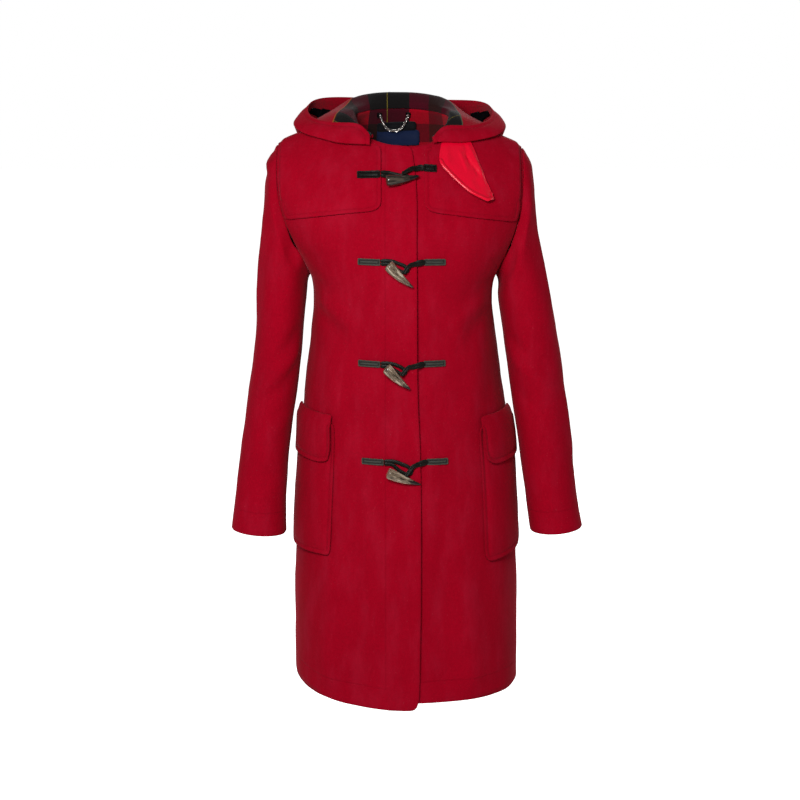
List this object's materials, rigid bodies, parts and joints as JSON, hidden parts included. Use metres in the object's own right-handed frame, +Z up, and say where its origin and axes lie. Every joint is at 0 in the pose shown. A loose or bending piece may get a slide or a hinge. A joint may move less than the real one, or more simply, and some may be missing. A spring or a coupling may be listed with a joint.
{
  "type": "duffle coat",
  "caption": "Hooded duffle coat in double-faced wool, hollow as if worn, with horn toggles on leather loops, a shoulder yoke and flapped patch pockets.",
  "frame": {"origin": "middle of the neck, level with the neck seam at the centre back", "axes": "+Z up; the coat faces -Y; +X is the wearer's left"},
  "size_m": [0.569, 0.3725, 0.9607],
  "materials": {
    "wool": "napped wool melton, crimson outside, red, burgundy and black check inside",
    "satin": "red satin",
    "leather": "smooth black leather",
    "black_leather": "smooth black leather",
    "horn": "polished horn, grey-brown with dark tips",
    "chain": "bright plated metal",
    "label": "navy satin ribbon, bare",
    "label_black": "black satin ribbon, bare"
  },
  "bodies": {
    "root": {"back": "wool", "front_left": "wool", "front_right": "wool", "hanger_chain": "chain", "hanger_tab_left": "black_leather", "hanger_tab_right": "black_leather", "hood": "wool", "hood_buckle_left": "black_leather", "hood_buckle_right": "black_leather", "hood_strap_left": "black_leather", "hood_strap_right": "black_leather", "loop_cord_1": "leather", "loop_cord_2": "leather", "loop_cord_3": "leather", "loop_cord_4": "leather", "loop_patch_1": "leather", "loop_patch_2": "leather", "loop_patch_3": "leather", "loop_patch_4": "leather", "maker_label": "label", "pocket_flap_left": "wool", "pocket_flap_right": "wool", "pocket_left": "wool", "pocket_right": "wool", "size_label": "label_black", "sleeve_left": "wool", "sleeve_right": "wool", "throat_tab": "wool", "throat_tab_facing": "satin", "toggle_1": "horn", "toggle_2": "horn", "toggle_3": "horn", "toggle_4": "horn", "toggle_cord_1": "leather", "toggle_cord_2": "leather", "toggle_cord_3": "leather", "toggle_cord_4": "leather", "toggle_patch_1": "leather", "toggle_patch_2": "leather", "toggle_patch_3": "leather", "toggle_patch_4": "leather", "yoke_back": "wool", "yoke_front_left": "wool", "yoke_front_right": "wool"}
  },
  "joints": []
}
